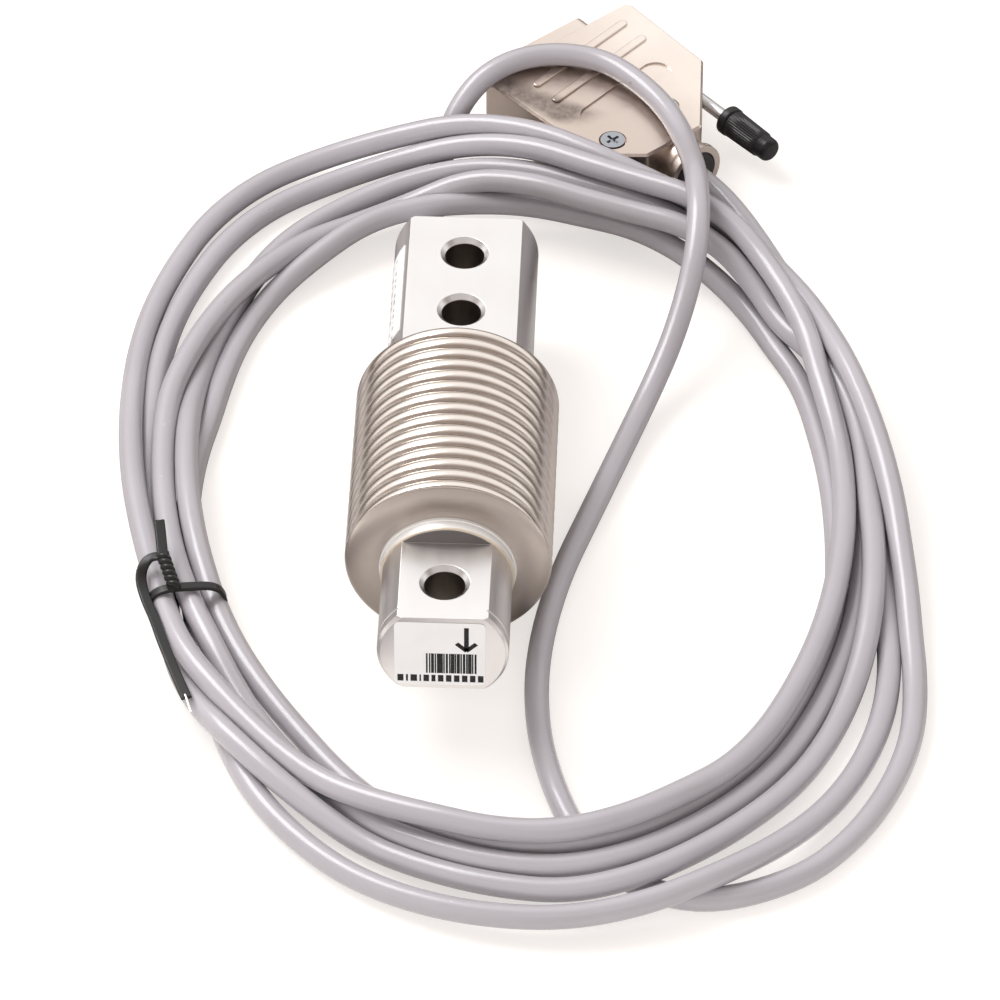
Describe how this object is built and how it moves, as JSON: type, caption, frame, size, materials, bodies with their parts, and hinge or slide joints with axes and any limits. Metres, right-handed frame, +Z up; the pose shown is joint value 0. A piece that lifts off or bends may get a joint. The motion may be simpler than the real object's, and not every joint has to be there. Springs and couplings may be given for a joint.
{
  "type": "bending beam load cell",
  "caption": "Round bending beam load cell sealed by a metal bellows, with bolt holes, a coiled grey cable and a D shaped plug.",
  "frame": {"origin": "under the middle of the measuring body, on the surface the bellows rests on", "axes": "+Z up, +Y along the beam towards the fixed end and its cable, +X to the right seen from the load end"},
  "size_m": [0.1687, 0.2759, 0.042],
  "materials": {
    "body_steel": "machined, satin",
    "bellows_steel": "formed, bright",
    "gauge_foil": "thin film",
    "board_green": "lacquered",
    "wire_plastic": "plain",
    "gland_metal": "nickel plated",
    "black_rubber": "matt",
    "label_white": "satin film",
    "cable_grey": "satin",
    "tie_black": "satin",
    "hood_nickel": "satin nickel",
    "screw_zinc": "zinc plated",
    "shell_tin": "tin plated",
    "insulator_black": "semi-gloss",
    "pin_gold": "gold plated",
    "knob_black": "moulded"
  },
  "bodies": {
    "load_cell": {"measuring_body": "body_steel", "bellows": "bellows_steel", "gauge_top_front": "gauge_foil", "gauge_top_rear": "gauge_foil", "gauge_bottom_front": "gauge_foil", "gauge_bottom_rear": "gauge_foil", "bridge_board": "board_green", "core_wires": "wire_plastic", "cable_gland": "gland_metal", "gland_seal": "black_rubber", "face_label": "label_white", "side_label": "label_white", "cable_lead": "cable_grey", "cable_coil": "cable_grey", "cable_tail": "cable_grey", "coil_tie": "tie_black", "hood_upper": "hood_nickel", "hood_lower": "hood_nickel", "hood_screws": "screw_zinc", "connector_shell": "shell_tin", "connector_insulator": "insulator_black", "connector_pins": "pin_gold", "plug_wires": "wire_plastic", "cable_grommet": "black_rubber"},
    "thumbscrew_right": {"thumbscrew_shaft_right": "screw_zinc", "thumbscrew_knob_right": "knob_black"},
    "thumbscrew_left": {"thumbscrew_shaft_left": "screw_zinc", "thumbscrew_knob_left": "knob_black"}
  },
  "joints": [
    {"name": "thumbscrew_right_turn", "type": "hinge", "parent": "load_cell", "child": "thumbscrew_right", "pos_m": [0.05898, 0.1194, 0.007], "axis": [-0.6691, 0.7431, 0], "continuous": true},
    {"name": "thumbscrew_left_turn", "type": "hinge", "parent": "load_cell", "child": "thumbscrew_left", "pos_m": [0.03424, 0.09712, 0.007], "axis": [-0.6691, 0.7431, 0], "continuous": true}
  ]
}
